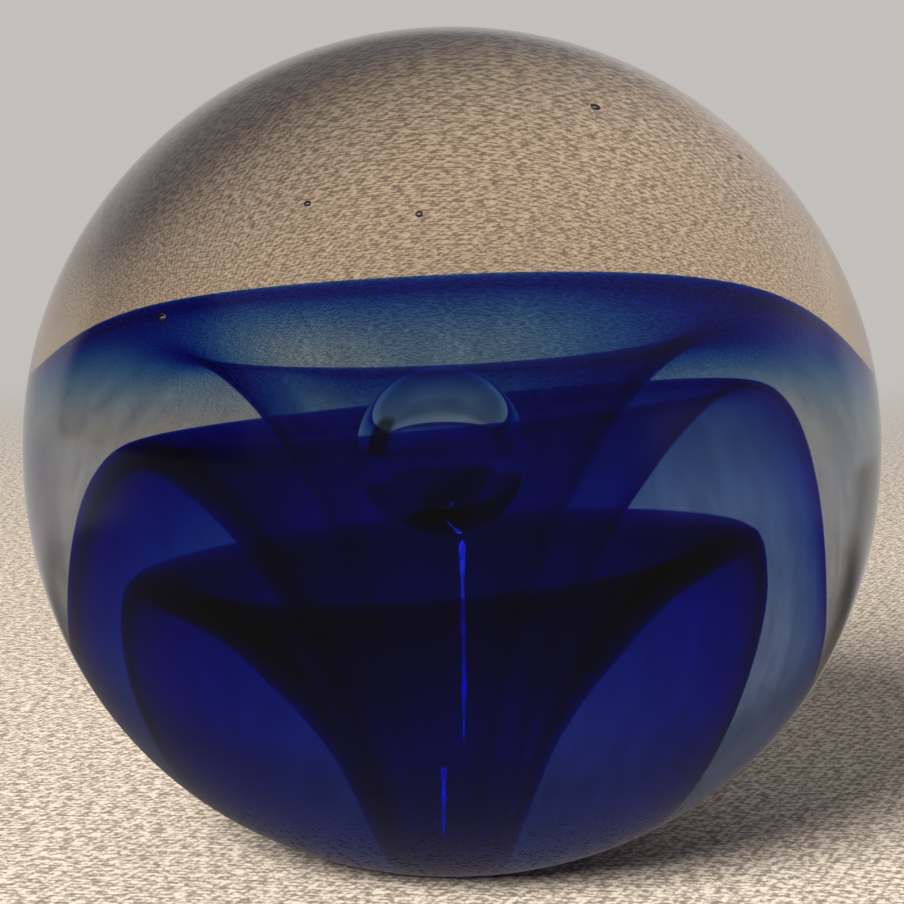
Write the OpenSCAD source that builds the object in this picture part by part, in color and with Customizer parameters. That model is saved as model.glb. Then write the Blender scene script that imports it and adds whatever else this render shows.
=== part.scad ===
// Art-glass ball paperweight: a clear casing over three nested cobalt veils, each one a skirt, a rounded
// shoulder and a funnel that runs down the middle to a narrow stem.
// Millimetres, +Z up. The origin is the centre of the ground base, on the surface that the ball stands on.

/* [Ball] */
// Widest diameter of the ball
ball_d = 80; // [70:1:90]
// Height of the crown over the widest part, as a share of the ball's radius
crown_share = 0.974; // [0.95:0.002:1]
// Fullness of the ball under its widest part: 2 is round, more is fuller
lower_fullness = 2.08; // [2:0.02:2.16]
// Diameter of the ground base
base_d = 24; // [22:1:26]
// Polished bevel around the base
base_bevel = 0.4; // [0.2:0.1:0.6]

/* [Outer veil] */
// Widest radius of the skirt
outer_skirt_r = 30; // [29:0.5:31]
// Height of the widest radius over the base
outer_skirt_z = 25; // [23:0.5:27]
// Radius of the ring where the shoulder turns into the funnel
outer_crest_r = 18.8; // [17:0.2:20]
// Height of that ring
outer_crest_z = 45.6; // [45:0.2:48]
// Radius of the skirt's foot
outer_foot_r = 10; // [9:0.5:10.5]
// Radius of the stem's foot
outer_stem_r = 0.8; // [0.7:0.1:0.9]
// Height of the colour's lower edges over the base
outer_floor_z = 1.6; // [1.4:0.1:1.8]
// Tilt of the shoulder, right side up
outer_tilt = 2.4; // [0:0.2:3]
// Tilt of the shoulder, far side up
outer_pitch = 0; // [-1:0.5:1]
// Thickness of the colour
outer_wall = 0.8; // [0.6:0.1:0.9]

/* [Middle veil] */
// Widest radius of the skirt
middle_skirt_r = 23.6; // [23:0.2:24.2]
// Height of the widest radius over the base
middle_skirt_z = 25; // [24:0.5:26]
// Radius of the ring where the shoulder turns into the funnel
middle_crest_r = 18.4; // [17.6:0.2:19]
// Height of that ring
middle_crest_z = 40.2; // [39:0.2:41]
// Radius of the skirt's foot
middle_foot_r = 7.6; // [7.4:0.1:7.8]
// Radius of the stem's foot
middle_stem_r = 1.7; // [1.65:0.05:1.75]
// Height of the colour's lower edges over the base
middle_floor_z = 3.2; // [3.1:0.1:3.4]
// Tilt of the shoulder, right side up
middle_tilt = 5.6; // [4:0.2:6]
// Tilt of the shoulder, far side up
middle_pitch = -3; // [-4:0.5:-1]
// Thickness of the colour
middle_wall = 0.9; // [0.7:0.1:1]

/* [Inner veil] */
// Widest radius of the skirt
inner_skirt_r = 20; // [19.4:0.2:20.2]
// Height of the widest radius over the base
inner_skirt_z = 27; // [26:0.5:28]
// Radius of the ring where the shoulder turns into the funnel
inner_crest_r = 18.2; // [17:0.2:18.6]
// Height of that ring
inner_crest_z = 30.8; // [30:0.2:31.6]
// Radius of the skirt's foot
inner_foot_r = 5.4; // [5.2:0.1:5.6]
// Radius of the stem's foot
inner_stem_r = 2.8; // [2.75:0.05:2.85]
// Height of the colour's lower edges over the base
inner_floor_z = 5; // [4.8:0.1:5.2]
// Tilt of the shoulder, right side up
inner_tilt = 5; // [4:0.2:6]
// Tilt of the shoulder, far side up
inner_pitch = 6; // [3:0.5:7]
// Thickness of the colour
inner_wall = 0.9; // [0.7:0.1:1]

/* [Air] */
// Diameter of the bubble in the mouth of the funnels
bubble_d = 10.8; // [8:0.2:12]
// Height of the bubble's centre over the base
bubble_z = 37.8; // [37:0.2:40]
// Diameter of the fine thread of air under the bubble
thread_d = 0.5; // [0.4:0.1:0.6]
// Height of the thread's lower end
thread_z = 19.5; // [18:0.5:26]
// Lean of the veils' common axis, towards the left
axis_lean = 1; // [0:0.2:1.2]

/* [Hidden] */
$fn = 72;

ball_r = ball_d / 2;
base_r = base_d / 2;
base_drop = ball_r * pow(1 - pow(base_r / ball_r, lower_fullness), 1 / lower_fullness);
bevel_r = base_r + base_bevel * 0.6;
ball_steps = 30;
veil_steps = 10;
foot_step = 0.8; // a colour's thickness at the skirt's foot
stem_step = 0.4; // and at the stem

clear_glass = [0.82, 0.84, 0.85, 0.25];
cobalt_pale = [0.16, 0.32, 0.62, 0.6];
cobalt = [0.08, 0.08, 0.5, 0.7];
cobalt_deep = [0.07, 0.03, 0.36, 0.8];

// Seed bubbles in the clear casing: x, y, z and radius.
seeds = [
    [12, -20, 68.5, 0.45],
    [-23.5, -26.5, 51, 0.4],
    [-2.5, -24, 58, 0.3],
    [-11.5, -27, 60, 0.3],
    [24.5, -12.5, 64, 0.3],
];

// One quarter of a superellipse: i = 0 is on the first axis and i = n on the second.
function along(i, n, m) = pow(cos(90 * i / n), 2 / m);
function across(i, n, m) = pow(sin(90 * i / n), 2 / m);

// A veil's face, from the skirt's foot over the shoulder and down the funnel to the stem's foot.
// v = [skirt radius, skirt height, crest radius, crest height, foot radius, stem radius, underside height]
// and m = the fullness of the skirt, the shoulder and the funnel.
function skirt_low(v, m, n) = [
    for (i = [n:-1:0])
        [v[4] + (v[0] - v[4]) * along(i, n, m[0]), v[6] + (v[1] - v[6]) * (1 - across(i, n, m[0]))]
];
function shoulder(v, m, n) = [
    for (i = [1:n])
        [v[2] + (v[0] - v[2]) * along(i, n, m[1]), v[1] + (v[3] - v[1]) * across(i, n, m[1])]
];
function funnel(v, m, n) = [
    for (i = [n - 1:-1:0])
        [v[2] - (v[2] - v[5]) * along(i, n, m[2]), v[6] + (v[3] - v[6]) * across(i, n, m[2])]
];
function face(v, m) = concat(
    skirt_low(v, m, veil_steps),
    shoulder(v, m, veil_steps),
    funnel(v, m, veil_steps)
);
function inward(v, wall) = [
    v[0] - wall, v[1], v[2], v[3] - wall, v[4] - foot_step, v[5] + stem_step, v[6]
];

outer = [
    outer_skirt_r, outer_skirt_z,
    outer_crest_r, outer_crest_z,
    outer_foot_r, outer_stem_r, outer_floor_z
];
middle = [
    middle_skirt_r, middle_skirt_z,
    middle_crest_r, middle_crest_z,
    middle_foot_r, middle_stem_r, middle_floor_z
];
inner = [
    inner_skirt_r, inner_skirt_z,
    inner_crest_r, inner_crest_z,
    inner_foot_r, inner_stem_r, inner_floor_z
];
outer_full = [1.5, 2.1, 1.9];
middle_full = [1.5, 2.8, 1.55];
inner_full = [1.5, 3.4, 1.8];

ball_outline = concat(
    [[0, 0], [base_r - base_bevel, 0]],
    [
        for (i = [0:ball_steps])
            let (r = bevel_r + (ball_r - bevel_r) * sin(90 * i / ball_steps))
                [r, base_drop - ball_r * pow(1 - pow(r / ball_r, lower_fullness), 1 / lower_fullness)]
    ],
    [
        for (i = [1:ball_steps])
            [ball_r * cos(90 * i / ball_steps), base_drop + ball_r * crown_share * sin(90 * i / ball_steps)]
    ]
);

// A veil's outline turned round and tilted: its rings slope, its axis leans, and its radii stay as they are.
// It is made of six parts side by side, each of them tilted by itself.
module turned(right_up, far_up) {
    for (side = [0:60:300])
        multmatrix([
            [1, 0, -tan(axis_lean), 0],
            [0, 1, 0, 0],
            [tan(right_up), tan(far_up), 1, 0],
            [0, 0, 0, 1],
        ])
            rotate_extrude(angle = 60, start = side)
                children();
}

module outer_side() {
    turned(outer_tilt, outer_pitch)
        polygon(face(outer, outer_full));
}

module outer_inside() {
    turned(outer_tilt, outer_pitch)
        polygon(face(inward(outer, outer_wall), outer_full));
}

module middle_side() {
    turned(middle_tilt, middle_pitch)
        polygon(face(middle, middle_full));
}

module middle_inside() {
    turned(middle_tilt, middle_pitch)
        polygon(face(inward(middle, middle_wall), middle_full));
}

module inner_side() {
    turned(inner_tilt, inner_pitch)
        polygon(face(inner, inner_full));
}

module inner_inside() {
    turned(inner_tilt, inner_pitch)
        polygon(face(inward(inner, inner_wall), inner_full));
}

// The trapped air: the bubble with its fine thread, a second short thread lower down, and the seeds.
module air() {
    lean = -tan(axis_lean);
    translate([lean * bubble_z, 0, bubble_z])
        sphere(d = bubble_d);
    translate([0.7, 0, thread_z])
        cylinder(h = bubble_z - thread_z, d = thread_d);
    translate([-0.5, 0, thread_z - 6])
        cylinder(h = 4.5, d = thread_d);
    for (s = seeds)
        translate([s[0], s[1], s[2]])
            sphere(r = s[3]);
}

// Clear outer gather: the ball itself, with the ground base.
module casing() {
    color(clear_glass)
        difference() {
            rotate_extrude()
                polygon(ball_outline);
            outer_side();
            air();
        }
}

// Thin pale cobalt layer, widest skirt.
module outer_veil() {
    color(cobalt_pale)
        turned(outer_tilt, outer_pitch)
            difference() {
                polygon(face(outer, outer_full));
                polygon(face(inward(outer, outer_wall), outer_full));
            }
}

// Clear glass between the outer and the middle veil.
module outer_gather() {
    color(clear_glass)
        difference() {
            outer_inside();
            middle_side();
        }
}

// Cobalt layer under the outer gather.
module middle_veil() {
    color(cobalt)
        turned(middle_tilt, middle_pitch)
            difference() {
                polygon(face(middle, middle_full));
                polygon(face(inward(middle, middle_wall), middle_full));
            }
}

// Clear glass between the middle and the inner veil.
module middle_gather() {
    color(clear_glass)
        difference() {
            middle_inside();
            inner_side();
        }
}

// Deepest cobalt layer.
module inner_veil() {
    color(cobalt_deep)
        turned(inner_tilt, inner_pitch)
            difference() {
                polygon(face(inner, inner_full));
                polygon(face(inward(inner, inner_wall), inner_full));
            }
}

// The first gather, all that lies under the inner veil.
module core() {
    color(clear_glass)
        inner_inside();
}

casing();
outer_veil();
outer_gather();
middle_veil();
middle_gather();
inner_veil();
core();
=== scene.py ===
"""Art-glass ball paperweight: the looks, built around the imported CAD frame."""

import math

import bpy
import numpy as np
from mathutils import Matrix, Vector


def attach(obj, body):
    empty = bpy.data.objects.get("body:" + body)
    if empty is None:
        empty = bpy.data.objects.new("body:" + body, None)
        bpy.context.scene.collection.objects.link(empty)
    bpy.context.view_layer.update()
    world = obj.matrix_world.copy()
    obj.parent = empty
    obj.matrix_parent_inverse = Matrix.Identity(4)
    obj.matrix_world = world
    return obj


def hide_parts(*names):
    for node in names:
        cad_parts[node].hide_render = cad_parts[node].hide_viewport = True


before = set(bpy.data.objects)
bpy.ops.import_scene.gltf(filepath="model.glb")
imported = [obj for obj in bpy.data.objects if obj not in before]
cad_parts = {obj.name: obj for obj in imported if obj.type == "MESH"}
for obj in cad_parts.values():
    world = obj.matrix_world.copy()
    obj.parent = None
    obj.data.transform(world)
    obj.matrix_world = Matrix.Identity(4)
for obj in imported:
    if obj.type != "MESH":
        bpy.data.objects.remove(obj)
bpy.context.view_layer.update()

MM = 0.001

# ---------------------------------------------------------------- dimensions, as in the CAD source, in mm
BALL_R = 40.0
CROWN_SHARE = 0.974
LOWER_FULLNESS = 2.08
BASE_R = 12.0
BASE_BEVEL = 0.4
BASE_DROP = BALL_R * (1 - (BASE_R / BALL_R) ** LOWER_FULLNESS) ** (1 / LOWER_FULLNESS)
AXIS_LEAN = 1.0

# skirt radius, skirt height, crest radius, crest height, foot radius, stem radius, underside height
OUTER = (30.0, 25.0, 18.8, 45.6, 10.0, 0.8, 1.6)
MIDDLE = (23.6, 25.0, 18.4, 40.2, 7.6, 1.7, 3.2)
INNER = (20.0, 27.0, 18.2, 30.8, 5.4, 2.8, 5.0)
# fullness of the skirt, the shoulder and the funnel
OUTER_FULL = (1.5, 2.1, 1.9)
MIDDLE_FULL = (1.5, 2.8, 1.55)
INNER_FULL = (1.5, 3.4, 1.8)
# degrees: right side up, far side up
OUTER_TILT = (2.4, 0.0)
MIDDLE_TILT = (5.6, -3.0)
INNER_TILT = (5.0, 6.0)

BUBBLE_D = 10.8
BUBBLE_Z = 37.8
THREAD_D = 0.5
# x, y, z and radius of each seed bubble
SEEDS = (
    (12.0, -20.0, 68.5, 0.45),
    (-23.5, -26.5, 51.0, 0.4),
    (-2.5, -24.0, 58.0, 0.3),
    (-11.5, -27.0, 60.0, 0.3),
    (24.5, -12.5, 64.0, 0.3),
)

# ---------------------------------------------------------------- dimensions of the looks alone, in mm
# how far the bevel's outer edge passes the base radius, as a share of the bevel
BEVEL_OUT = 0.6
# x, lower end, upper end and rows of points of each length of the air thread. The upper length stops
# just under the bubble, which it opens into in the CAD.
THREADS = ((0.7, 19.5, BUBBLE_Z - 5.6, 60), (-0.5, 13.5, 18.0, 30))
# height of a seed bubble as a share of its width
SEED_FLATNESS = 0.9
# how far the clear gathers' skins reach into the colour layers, and how long the air thread's tips are
HAIR = 0.02
# how far the floor lies under the base
FLOOR_DROP = 0.05

# ---------------------------------------------------------------- mesh resolution
BALL_COLUMNS = 288
BALL_ROWS = 110
VEIL_COLUMNS = 180
VEIL_STEPS = 44
VEIL_SPACING = 0.7
THREAD_COLUMNS = 16
FLOOR_COLUMNS = 96
# columns and rows of the large bubble and of a seed
BUBBLE_GRID = (96, 47)
SEED_GRID = (24, 11)


# ---------------------------------------------------------------- mesh helpers
def quarter(n, full):
    """cos^(2/full) and sin^(2/full) over a quarter turn."""
    a = np.radians(np.linspace(0, 90, n + 1))
    return np.abs(np.cos(a)) ** (2 / full), np.abs(np.sin(a)) ** (2 / full)


def veil_profile(shape, full, n):
    """The veil's face from the skirt's foot over the shoulder and down to the stem, as (r, z) rows, with
    a parameter that runs 0..1 up the skirt, 1..2 over the shoulder and 2..3 down the funnel."""
    skirt_r, skirt_z, crest_r, crest_z, foot_r, stem_r, low_z = shape
    out, up = quarter(n, full[0])
    skirt = np.column_stack([foot_r + (skirt_r - foot_r) * out, low_z + (skirt_z - low_z) * (1 - up)])
    out, up = quarter(n, full[1])
    shoulder = np.column_stack([crest_r + (skirt_r - crest_r) * out, skirt_z + (crest_z - skirt_z) * up])
    out, up = quarter(n, full[2])
    funnel = np.column_stack([crest_r - (crest_r - stem_r) * out, low_z + (crest_z - low_z) * up])
    part = np.linspace(0, 1, n + 1)
    pts = np.vstack([skirt[::-1], shoulder[1:], funnel[::-1][1:]])
    return pts, np.concatenate([part, 1 + part[1:], 2 + part[1:]])


def resample(pts, u, step):
    """Points at an even spacing along the curve."""
    seg = np.hypot(*np.diff(pts, axis=0).T)
    keep = np.concatenate([[True], seg > 1e-9])
    pts, u = pts[keep], u[keep]
    s = np.concatenate([[0], np.cumsum(np.hypot(*np.diff(pts, axis=0).T))])
    t = np.linspace(0, s[-1], int(s[-1] / step) + 1)
    return np.column_stack([np.interp(t, s, pts[:, 0]), np.interp(t, s, pts[:, 1])]), np.interp(t, s, u)


def inner_normals(pts):
    """Unit normals of the curve on the side of the gather under the veil."""
    d = np.gradient(pts, axis=0)
    d /= np.linalg.norm(d, axis=1)[:, None]
    return np.column_stack([-d[:, 1], d[:, 0]])


def ring_points(pts, cols):
    """(rows, cols, 3) of a profile turned about Z."""
    a = np.arange(cols) * 2 * math.pi / cols
    r, z = pts[..., 0], pts[..., 1]
    if r.ndim == 1:
        r, z = np.repeat(r[:, None], cols, 1), np.repeat(z[:, None], cols, 1)
    return np.stack([r * np.cos(a), r * np.sin(a), z], -1)


def grid_faces(rows, cols, wrap_rows, flip=False, start=0):
    faces = []
    for i in range(rows if wrap_rows else rows - 1):
        a, b = start + i * cols, start + ((i + 1) % rows) * cols
        for j in range(cols):
            k = (j + 1) % cols
            quad = (a + j, a + k, b + k, b + j)
            faces.append(quad[::-1] if flip else quad)
    return faces


def capped(pts, cols, bottom, top, flip=False, start=0):
    """A turned skin closed by a point at each end. Its faces look outwards unless flipped. After the
    rows of the grid come the end faces, a bottom one and a top one by turns."""
    body = ring_points(pts, cols).reshape(-1, 3)
    verts = np.vstack([body, [0, 0, bottom], [0, 0, top]])
    faces = grid_faces(len(pts), cols, False, flip, start)
    low, high = start + len(body), start + len(body) + 1
    last_row = start + len(body) - cols
    for j in range(cols):
        k = (j + 1) % cols
        for face in ((start + k, start + j, low), (last_row + j, last_row + k, high)):
            faces.append(face[::-1] if flip else face)
    return verts, faces


def skin(rows, start=0, flip=False):
    """A closed skin from rows of points that go round a closed outline."""
    return rows.reshape(-1, 3), grid_faces(len(rows), VEIL_COLUMNS, True, flip, start)


def tilt(points, right_up, far_up):
    """The CAD's shear: rings slope, the axis leans, radii stay."""
    x, y, z = points[..., 0], points[..., 1], points[..., 2]
    leaning = x - math.tan(math.radians(AXIS_LEAN)) * z
    sloping = z + math.tan(math.radians(right_up)) * x + math.tan(math.radians(far_up)) * y
    return np.stack([leaning, y, sloping], -1)


def shifted(surface, by):
    """A veil's surface moved along the normals that point away from the glass under it."""
    along = np.gradient(surface, axis=0)
    around = np.roll(surface, -1, 1) - np.roll(surface, 1, 1)
    n = np.cross(around, along)
    n /= np.maximum(np.linalg.norm(n, axis=-1, keepdims=True), 1e-9)
    return surface + n * by


def smooth_step(x, lo, hi):
    t = np.clip((x - lo) / (hi - lo), 0, 1)
    return t * t * (3 - 2 * t)


def wave(a, *terms):
    return sum(amp * np.sin(k * a + phase) for amp, k, phase in terms)


def make_object(name, verts, faces, materials, face_slots=None):
    mesh = bpy.data.meshes.new(name)
    mesh.from_pydata((np.asarray(verts) * MM).tolist(), [], faces)
    mesh.validate()
    mesh.update()
    mesh.shade_smooth()
    for material in materials:
        mesh.materials.append(material)
    if face_slots is not None:
        mesh.polygons.foreach_set("material_index", face_slots)
    obj = bpy.data.objects.new(name, mesh)
    bpy.context.scene.collection.objects.link(obj)
    return obj


# ---------------------------------------------------------------- node helpers
def new_material(name):
    material = bpy.data.materials.new(name)
    material.use_nodes = True
    tree = material.node_tree
    tree.nodes.clear()
    out = tree.nodes.new("ShaderNodeOutputMaterial")
    shader = tree.nodes.new("ShaderNodeBsdfPrincipled")
    tree.links.new(shader.outputs["BSDF"], out.inputs["Surface"])
    return material, tree, shader, out


def set_inputs(n, values):
    for k, v in values.items():
        n.inputs[k].default_value = v


def textured(tree, kind, vector, values):
    """A texture node's Fac at the given coordinates."""
    n = tree.nodes.new(kind)
    set_inputs(n, values)
    tree.links.new(vector, n.inputs["Vector"])
    return n.outputs["Fac"]


def coords(tree, scale=(1, 1, 1)):
    """Object coordinates in millimetres, stretched by scale."""
    place = tree.nodes.new("ShaderNodeTexCoord")
    mapping = tree.nodes.new("ShaderNodeMapping")
    mapping.inputs["Scale"].default_value = tuple(s / MM for s in scale)
    tree.links.new(place.outputs["Object"], mapping.inputs["Vector"])
    return mapping.outputs["Vector"]


def ramp(tree, fac, stops):
    """A colour for each value, between stops of (value, colour)."""
    n = tree.nodes.new("ShaderNodeValToRGB")
    elements = n.color_ramp.elements
    elements.remove(elements[-1])
    elements[0].position, elements[0].color = stops[0][0], (*stops[0][1], 1)
    for position, color in stops[1:]:
        elements.new(position).color = (*color, 1)
    tree.links.new(fac, n.inputs["Fac"])
    return n.outputs["Color"]


def map_range(tree, value, values, kind="LINEAR"):
    n = tree.nodes.new("ShaderNodeMapRange")
    n.interpolation_type = kind
    set_inputs(n, values)
    tree.links.new(value, n.inputs["Value"])
    return n.outputs["Result"]


def fade(tree, value, lo, hi):
    """0 at lo and 1 at hi, smooth between."""
    return map_range(tree, value, {"From Min": lo, "From Max": hi}, "SMOOTHSTEP")


def math_node(tree, operation, a, b):
    n = tree.nodes.new("ShaderNodeMath")
    n.operation = operation
    for socket, v in zip(n.inputs, (a, b)):
        if isinstance(v, float):
            socket.default_value = v
        else:
            tree.links.new(v, socket)
    return n.outputs["Value"]


def mix_color(tree, fac, a, b):
    n = tree.nodes.new("ShaderNodeMix")
    n.data_type = "RGBA"
    factor, color_a, color_b = n.inputs[0], n.inputs[6], n.inputs[7]
    tree.links.new(fac, factor)
    for socket, v in ((color_a, a), (color_b, b)):
        if isinstance(v, tuple):
            socket.default_value = (*v, 1)
        else:
            tree.links.new(v, socket)
    return n.outputs[2]


def absorb(tree, out, color, density):
    n = tree.nodes.new("ShaderNodeVolumeAbsorption")
    set_inputs(n, {"Color": (*color, 1), "Density": density})
    tree.links.new(n.outputs["Volume"], out.inputs["Volume"])


# ---------------------------------------------------------------- materials
GLASS_IOR = 1.5
# a warm cast, which tells over the ball's full width
GLASS_CAST = (0.62, 0.5, 0.36)
GLASS_CAST_DENSITY = 16.0
# height at which the grit round the lower edge begins, and where it is full, in mm
GRIT_TOP = 14.0
GRIT_FULL = 3.0
GRIT_ROUGHNESS = 0.55


def clear_glass_material():
    """The ball's own glass, with faint cords."""
    material, tree, shader, out = new_material("clear_glass")
    set_inputs(shader, {"Transmission Weight": 1.0, "IOR": GLASS_IOR})
    vec = coords(tree)
    cords = textured(tree, "ShaderNodeTexNoise", vec, {"Scale": 0.35, "Detail": 3.0})
    tint = ramp(tree, cords, [(0.3, (0.96, 0.95, 0.94)), (0.7, (1.0, 0.99, 0.98))])
    tree.links.new(tint, shader.inputs["Base Color"])
    # fine grit round the lower edge, where the ball is set down
    grit = textured(tree, "ShaderNodeTexNoise", vec, {"Scale": 1.7, "Detail": 3.0, "Roughness": 0.7})
    place = tree.nodes.new("ShaderNodeSeparateXYZ")
    tree.links.new(vec, place.inputs["Vector"])
    low = fade(tree, place.outputs["Z"], GRIT_TOP, GRIT_FULL)
    worn = math_node(tree, "MULTIPLY", fade(tree, grit, 0.52, 0.62), low)
    tree.links.new(math_node(tree, "MULTIPLY", worn, GRIT_ROUGHNESS), shader.inputs["Roughness"])
    absorb(tree, out, GLASS_CAST, GLASS_CAST_DENSITY)
    return material


def ground_material():
    """The flat underside, ground matt."""
    material, tree, shader, out = new_material("ground_base")
    set_inputs(shader, {"Transmission Weight": 1.0, "IOR": GLASS_IOR, "Base Color": (0.9, 0.9, 0.9, 1)})
    vec = coords(tree)
    grit = textured(tree, "ShaderNodeTexNoise", vec, {"Scale": 4.0, "Detail": 6.0, "Roughness": 0.7})
    tree.links.new(map_range(tree, grit, {"To Min": 0.25, "To Max": 0.5}), shader.inputs["Roughness"])
    bump = tree.nodes.new("ShaderNodeBump")
    set_inputs(bump, {"Strength": 0.4, "Distance": 0.0001})
    tree.links.new(grit, bump.inputs["Height"])
    tree.links.new(bump.outputs["Normal"], shader.inputs["Normal"])
    absorb(tree, out, GLASS_CAST, GLASS_CAST_DENSITY)
    return material


def thread_with_painted_glow_material():
    """The needle of tiny bubbles: rough, half-clear glass that scatters light, with a painted blue glow,
    an emission that stands in for light it would catch from above.
    """
    material, tree, shader, out = new_material("air_thread")
    set_inputs(shader, {"Transmission Weight": 0.35, "Roughness": 0.45, "IOR": GLASS_IOR})
    beads = textured(tree, "ShaderNodeTexNoise", coords(tree, (2, 2, 0.7)), {"Scale": 1.0, "Detail": 3.0})
    tint = ramp(tree, beads, [(0.35, (0.55, 0.6, 0.8)), (0.6, (0.95, 0.97, 1.0))])
    tree.links.new(tint, shader.inputs["Base Color"])
    # painted glow: blue emission, uneven along the beads, so the thread shines though it is no lamp
    shader.inputs["Emission Color"].default_value = (0.12, 0.16, 1.0, 1)
    painted_glow = map_range(tree, beads, {"From Min": 0.35, "From Max": 0.65, "To Min": 0.15, "To Max": 1.3})
    tree.links.new(painted_glow, shader.inputs["Emission Strength"])
    return material


def bubble_skin_material():
    """The bubble's wall: faintly matt, so it gathers the light above it into an even grey."""
    material, tree, shader, out = new_material("bubble_skin")
    set_inputs(shader, {"Transmission Weight": 1.0, "IOR": GLASS_IOR, "Base Color": (0.97, 0.97, 0.97, 1)})
    film = textured(tree, "ShaderNodeTexNoise", coords(tree), {"Scale": 0.6, "Detail": 3.0})
    tree.links.new(map_range(tree, film, {"To Min": 0.05, "To Max": 0.1}), shader.inputs["Roughness"])
    return material


def inner_glass(name, stretch, detail, stops):
    """Glass fused inside the ball, which bends no light and is streaked by a stretched noise."""
    material, tree, shader, out = new_material(name)
    set_inputs(shader, {"Transmission Weight": 1.0, "IOR": 1.0, "Roughness": 0.0})
    streaks = textured(tree, "ShaderNodeTexNoise", coords(tree, stretch), {"Scale": 1.0, **detail})
    tree.links.new(ramp(tree, streaks, stops), shader.inputs["Base Color"])
    return material, tree, out


def colour_material(name, color, density):
    """Cobalt glass, whose depth of colour comes from its thickness."""
    stops = [(0.3, (0.8, 0.8, 0.88)), (0.65, (1, 1, 1))]
    material, tree, out = inner_glass(name, (0.5, 0.5, 0.08), {"Detail": 4.0, "Roughness": 0.6}, stops)
    absorb(tree, out, color, density)
    return material


def gather_material(name, low):
    """Clear inner glass, with cords as dark as low."""
    stops = [(0.35, (low, low, low)), (0.6, (1, 1, 1))]
    return inner_glass(name, (0.3, 0.3, 0.1), {"Detail": 2.0}, stops)[0]


# ---------------------------------------------------------------- the ball and its air
def ball_profile(n):
    """The casing's outline from the base flat over the bevel and up to just under the crown."""
    bevel_r = BASE_R + BASE_BEVEL * BEVEL_OUT
    a = np.radians(np.linspace(0, 90, n + 1))
    base = np.array([[BASE_R - BASE_BEVEL, 0.0]])
    r = bevel_r + (BALL_R - bevel_r) * np.sin(a)
    depth = BALL_R * np.clip(1 - (r / BALL_R) ** LOWER_FULLNESS, 0, 1) ** (1 / LOWER_FULLNESS)
    low = np.column_stack([r, BASE_DROP - depth])
    up = np.column_stack([BALL_R * np.cos(a), BASE_DROP + BALL_R * CROWN_SHARE * np.sin(a)])[1:-1]
    return np.vstack([base, low, up])


def blob(center, radii, cols, rows, start):
    """A closed hollow: its faces look into the air."""
    a = np.radians(np.linspace(-90, 90, rows + 2))[1:-1]
    verts, faces = capped(np.column_stack([np.cos(a), np.sin(a)]), cols, -1.0, 1.0, True, start)
    return verts * np.asarray(radii) + np.asarray(center), faces


def thread(x, z0, z1, rows, start):
    """A fine needle of air with a slight wander, thickest near its top and pointed at its ends."""
    t = np.linspace(0, 1, rows)
    ends = np.minimum(1, np.minimum(t / 0.04, (1 - t) / 0.25)) ** 0.6
    slim = 0.55 + 0.45 * np.exp(-t / 0.08)
    beads = 1 + 0.18 * np.sin(19 * t) + 0.1 * np.sin(43 * t)
    radius = np.maximum(THREAD_D / 2 * ends * slim * beads, 0.01)
    pts = np.column_stack([radius, z1 + (z0 - z1) * t])[::-1]
    verts, faces = capped(pts, THREAD_COLUMNS, z0 - HAIR, z1 + HAIR, True, start)
    verts[:, 0] += x + 0.05 * np.sin(0.35 * verts[:, 2])
    return verts, faces


def ball():
    """One closed glass skin, with the bubble, the threads and the seeds as hollows in it."""
    glass, ground, air_thread, bubble_skin = range(4)
    pts = ball_profile(BALL_ROWS)
    verts, faces = capped(pts, BALL_COLUMNS, 0.0, BASE_DROP + BALL_R * CROWN_SHARE)
    slots = np.full(len(faces), glass)
    # the bevel is the first row of faces, and the flat is every other end face
    slots[:BALL_COLUMNS] = ground
    slots[(len(pts) - 1) * BALL_COLUMNS :: 2] = ground

    def add(maker, *args, slot):
        nonlocal verts, faces, slots
        more_verts, more_faces = maker(*args, len(verts))
        verts = np.vstack([verts, more_verts])
        faces = faces + more_faces
        slots = np.concatenate([slots, np.full(len(more_faces), slot)])

    lean = -math.tan(math.radians(AXIS_LEAN)) * BUBBLE_Z
    add(blob, (lean, 0, BUBBLE_Z), (BUBBLE_D / 2,) * 3, *BUBBLE_GRID, slot=bubble_skin)
    for length in THREADS:
        add(thread, *length, slot=air_thread)
    for x, y, z, r in SEEDS:
        add(blob, (x, y, z), (r, r, r * SEED_FLATNESS), *SEED_GRID, slot=glass)
    materials = (clear_glass_material(), ground_material(), thread_with_painted_glow_material(), bubble_skin_material())
    return make_object("glass_ball", verts, faces, materials, slots)


ball_obj = ball()
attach(ball_obj, "root")
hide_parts("casing")


# ---------------------------------------------------------------- the colour layers
# the wall in mm along each profile, where 0 is the foot, 1 the skirt's top, 2 the crest and 3 the stem
OUTER_WALL_AT = (0, 1.0, 1.4, 1.6, 1.8, 2.0, 2.3, 2.6, 3.0)
OUTER_WALL = (0.03, 0.03, 0.05, 0.18, 0.58, 0.85, 0.56, 0.42, 0.3)
MIDDLE_WALL_AT = (0, 0.6, 1.0, 1.5, 2.0, 2.2, 2.5, 3.0)
MIDDLE_WALL = (0.12, 0.18, 0.3, 0.7, 1.0, 1.1, 0.75, 0.25)
INNER_WALL_AT = (0, 0.6, 1.0, 1.5, 2.0, 2.15, 2.4, 2.6, 3.0)
INNER_WALL = (0.14, 0.2, 0.5, 1.25, 1.5, 2.0, 1.9, 0.9, 0.2)
# angle round the axis, half width, and the share of the wall gone just before the crest and in the funnel
FLUTES = (
    (2.25, 0.45, (0.0, 0.5)),
    (4.03, 0.22, (0.3, 0.85)),
    (4.71, 0.45, (0.0, 0.55)),
)
# where along the profile the flutes begin, and where those two shares are reached
FLUTES_AT = (1.7, 1.9, 2.2)
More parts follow.
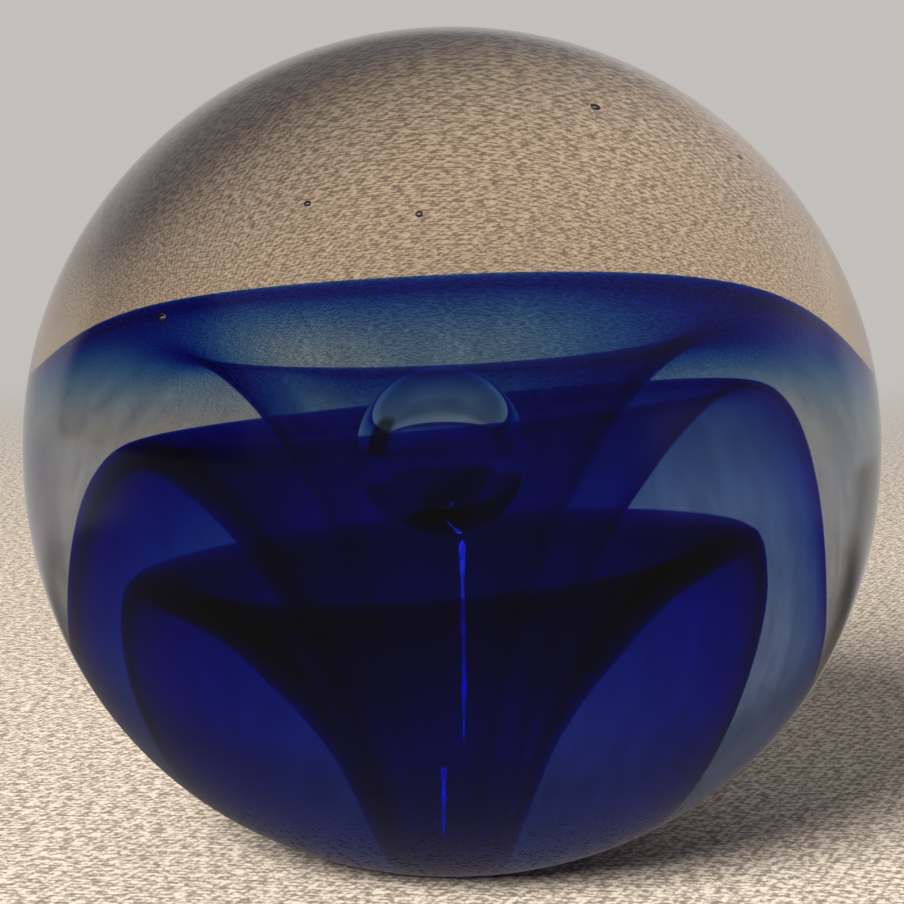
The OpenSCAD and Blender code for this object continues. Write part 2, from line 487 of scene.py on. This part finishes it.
# amplitude in mm, turns and phase of the waves in which each veil's rings wander
OUTER_WANDER = ((0.12, 2, 0.4), (0.07, 5, 1.1))
MIDDLE_WANDER = ((0.1, 3, 2.0), (0.05, 4, 0.2))
INNER_WANDER = ((0.08, 2, 2.2), (0.05, 5, 0.9))


def outer_thickness(u, a):
    """Thin in the skirt, full over the crest, with flutes down the funnel where the colour is thin."""
    t = np.interp(u, OUTER_WALL_AT, OUTER_WALL)
    for at, width, gone in FLUTES:
        t = t * (1 - np.interp(u, FLUTES_AT, (0, *gone)) * np.exp(-(((a - at) / width) ** 2)))
    return t * (0.93 + 0.3 * np.cos(a - 0.2) + wave(a, (0.08, 3, 0.5), (0.06, 7, 2.0)))


def middle_thickness(u, a):
    """Fullest round the crest, and paler on the right."""
    t = np.interp(u, MIDDLE_WALL_AT, MIDDLE_WALL)
    return t * (1 - 0.64 * np.cos(a) + wave(a, (0.06, 5, 0.3)))


def inner_thickness(u, a):
    """Darkest round the crest and the mouth of the funnel."""
    t = np.interp(u, INNER_WALL_AT, INNER_WALL)
    return t * (1 + wave(a, (0.08, 2, 0.2), (0.05, 6, 1.0)))


def veil_surfaces(shape, full, slope, thickness, wander):
    """Outer and inner surface of a colour layer, (rows, columns, 3) each."""
    pts, u = resample(*veil_profile(shape, full, VEIL_STEPS), VEIL_SPACING)
    normals = inner_normals(pts)
    u = u[:, None]
    a = np.arange(VEIL_COLUMNS) * 2 * math.pi / VEIL_COLUMNS
    wall = thickness(u, a)
    # the rings wander as hand-made ones do, but not at the foot or the stem
    free = smooth_step(u, 0.1, 0.9) * (1 - smooth_step(u, 2.2, 2.9))
    r = pts[:, :1] + wave(a, *wander) * free
    z = np.repeat(pts[:, 1:], VEIL_COLUMNS, 1)
    outer = ring_points(np.stack([r, z], -1), VEIL_COLUMNS)
    inner = ring_points(np.stack([r + normals[:, :1] * wall, z + normals[:, 1:] * wall], -1), VEIL_COLUMNS)
    return tilt(outer, *slope), tilt(inner, *slope)


def colour_layer(name, surfaces, slot, color, density):
    outer, inner = surfaces
    verts, faces = skin(np.concatenate([outer, inner[::-1]], 0))
    obj = make_object("layer_" + name, verts, faces, (colour_material(slot, color, density),))
    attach(obj, "root")
    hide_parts(name)


outer_veil = veil_surfaces(OUTER, OUTER_FULL, OUTER_TILT, outer_thickness, OUTER_WANDER)
middle_veil = veil_surfaces(MIDDLE, MIDDLE_FULL, MIDDLE_TILT, middle_thickness, MIDDLE_WANDER)
inner_veil = veil_surfaces(INNER, INNER_FULL, INNER_TILT, inner_thickness, INNER_WANDER)
colour_layer("outer_veil", outer_veil, "cobalt_pale", color=(0.0, 0.5, 0.93), density=1900.0)
colour_layer("middle_veil", middle_veil, "cobalt", color=(0.0, 0.42, 0.93), density=2300.0)
colour_layer("inner_veil", inner_veil, "cobalt_deep", color=(0.0, 0.22, 0.925), density=3500.0)


# ---------------------------------------------------------------- clear gathers between the layers
def clear_gather(name, around, within, low):
    """The clear glass inside one veil, and outside the next one if there is one."""
    verts, faces = skin(shifted(around[1], HAIR))
    if within:
        hole_verts, hole_faces = skin(shifted(within[0], -HAIR), len(verts), True)
        verts, faces = np.vstack([verts, hole_verts]), faces + hole_faces
    obj = make_object("clear_" + name, verts, faces, (gather_material(name + "_glass", low),))
    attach(obj, "root")
    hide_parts(name)


clear_gather("outer_gather", outer_veil, middle_veil, low=0.985)
clear_gather("middle_gather", middle_veil, inner_veil, low=0.985)
clear_gather("core", inner_veil, None, low=0.98)


# ---------------------------------------------------------------- stage: floor, light, camera
# radii in mm
FLOOR_RINGS = (60, 120, 200, 320, 480, 680, 900, 1300)
FLOOR_PALE = (0.84, 0.74, 0.62)
FLOOR_DEEP = (0.27, 0.225, 0.18)
# metres from the ball between which the floor melts away
FLOOR_MELTS = (0.2, 0.8)


def cloth(tree):
    """A plain weave with threads of uneven thickness, 0 in its gaps and 1 on its threads."""
    vec = coords(tree)
    threads = []
    for turn, scale in ((0.35, 0.36), (1.75, 0.31)):
        lay = tree.nodes.new("ShaderNodeVectorRotate")
        lay.rotation_type = "Z_AXIS"
        lay.inputs["Angle"].default_value = turn
        tree.links.new(vec, lay.inputs["Vector"])
        uneven = {"Distortion": 5.0, "Detail": 3.0, "Detail Scale": 2.6, "Detail Roughness": 0.75}
        threads.append(
            textured(tree, "ShaderNodeTexWave", lay.outputs["Vector"], {"Scale": scale, **uneven})
        )
    weave = math_node(tree, "MULTIPLY", threads[0], threads[1])
    slub = textured(tree, "ShaderNodeTexNoise", vec, {"Scale": 0.85, "Detail": 4.0, "Roughness": 0.75})
    return fade(tree, math_node(tree, "ADD", math_node(tree, "MULTIPLY", weave, 0.14), slub), 0.42, 0.66)


def floor():
    """A wide disc of pale cloth, which melts into the background at its rim."""
    pts = np.array([[r, -FLOOR_DROP] for r in FLOOR_RINGS])
    body = ring_points(pts, FLOOR_COLUMNS).reshape(-1, 3)
    verts = np.vstack([body, [0, 0, -FLOOR_DROP]])
    faces = grid_faces(len(pts), FLOOR_COLUMNS, False, True)
    faces += [(j, (j + 1) % FLOOR_COLUMNS, len(body)) for j in range(FLOOR_COLUMNS)]
    material, tree, shader, out = new_material("pale_floor")
    set_inputs(shader, {"Roughness": 0.9, "Specular IOR Level": 0.1})
    tree.links.new(mix_color(tree, cloth(tree), FLOOR_DEEP, FLOOR_PALE), shader.inputs["Base Color"])
    place = tree.nodes.new("ShaderNodeTexCoord")
    distance = tree.nodes.new("ShaderNodeVectorMath")
    distance.operation = "LENGTH"
    tree.links.new(place.outputs["Object"], distance.inputs[0])
    clear = tree.nodes.new("ShaderNodeBsdfTransparent")
    melt = tree.nodes.new("ShaderNodeMixShader")
    tree.links.new(fade(tree, distance.outputs["Value"], *FLOOR_MELTS), melt.inputs[0])
    tree.links.new(shader.outputs["BSDF"], melt.inputs[1])
    tree.links.new(clear.outputs["BSDF"], melt.inputs[2])
    tree.links.new(melt.outputs["Shader"], out.inputs["Surface"])
    return make_object("floor", verts, faces, (material,))


floor_obj = floor()
# the glass takes the dim room in its lower outside, not the lit cloth
floor_obj.visible_glossy = False

scene = bpy.context.scene

# colours of the light tent
DIM_FRONT = (0.13, 0.12, 0.11)
PALE_BACK = (0.55, 0.525, 0.5)
HIGH_WALL = (0.24, 0.25, 0.28)
GREY_SIDE = (0.25, 0.24, 0.28)
DARK_CARD = (0.075, 0.062, 0.055)
CEILING = (0.34, 0.325, 0.31)
UNDER_TABLE = (0.13, 0.115, 0.105)


def studio():
    """A light tent: pale behind the ball, dim in front and higher up, grey low on the right, with a dark
    card on the left, an even grey ceiling and a dark space under the table."""
    world = bpy.data.worlds.new("studio")
    scene.world = world
    world.use_nodes = True
    tree = world.node_tree
    direction = tree.nodes.new("ShaderNodeTexCoord")
    place = tree.nodes.new("ShaderNodeSeparateXYZ")
    tree.links.new(direction.outputs["Generated"], place.inputs["Vector"])
    x, y, z = place.outputs["X"], place.outputs["Y"], place.outputs["Z"]
    c = mix_color(tree, fade(tree, y, -0.2, 0.75), DIM_FRONT, PALE_BACK)
    c = mix_color(tree, fade(tree, z, 0.3, 0.5), c, HIGH_WALL)
    side = math_node(tree, "MULTIPLY", fade(tree, x, 0.7, 0.85), fade(tree, z, 0.26, 0.14))
    c = mix_color(tree, side, c, GREY_SIDE)
    card = math_node(tree, "MULTIPLY", fade(tree, x, -0.77, -0.86), fade(tree, z, -0.04, 0.0))
    c = mix_color(tree, card, c, DARK_CARD)
    c = mix_color(tree, fade(tree, z, 0.7, 0.95), c, CEILING)
    c = mix_color(tree, fade(tree, z, -0.17, -0.25), c, UNDER_TABLE)
    tree.links.new(c, tree.nodes["Background"].inputs["Color"])


def look_at(obj, location, target):
    obj.location = location
    obj.rotation_euler = (Vector(target) - Vector(location)).to_track_quat("-Z", "Y").to_euler()
    scene.collection.objects.link(obj)


def softbox(name, location, target, size, power, color):
    light = bpy.data.lights.new(name, "AREA")
    light.shape = "DISK"
    light.size = size
    light.energy = power
    light.color = color
    obj = bpy.data.objects.new(name, light)
    # it lights the cloth, and leaves no disc of its own in the glass
    obj.visible_glossy = False
    obj.visible_transmission = False
    look_at(obj, location, target)


# the camera's place and aim in metres, its lens and its sensor in mm
CAMERA_AT = (0.0, -0.2391, 0.0593)
CAMERA_AIM = (0.0, 0.0, 0.03773)
LENS = 101.3
SENSOR_WIDTH = 36.0


def camera():
    cam = bpy.data.cameras.new("camera")
    cam.sensor_width = SENSOR_WIDTH
    cam.lens = LENS
    obj = bpy.data.objects.new("camera", cam)
    look_at(obj, CAMERA_AT, CAMERA_AIM)
    scene.camera = obj


softbox(
    "key",
    location=(-0.75, -1.41, 0.92),
    target=(0.0, 0.05, 0.0),
    size=0.85,
    power=82.0,
    color=(1.0, 0.96, 0.9),
)
studio()
camera()

# light crosses dozens of fused skins, so the paths are long
scene.cycles.max_bounces = 96
scene.cycles.transmission_bounces = 96
scene.cycles.transparent_max_bounces = 64
scene.cycles.diffuse_bounces = 3
scene.view_settings.view_transform = "Standard"
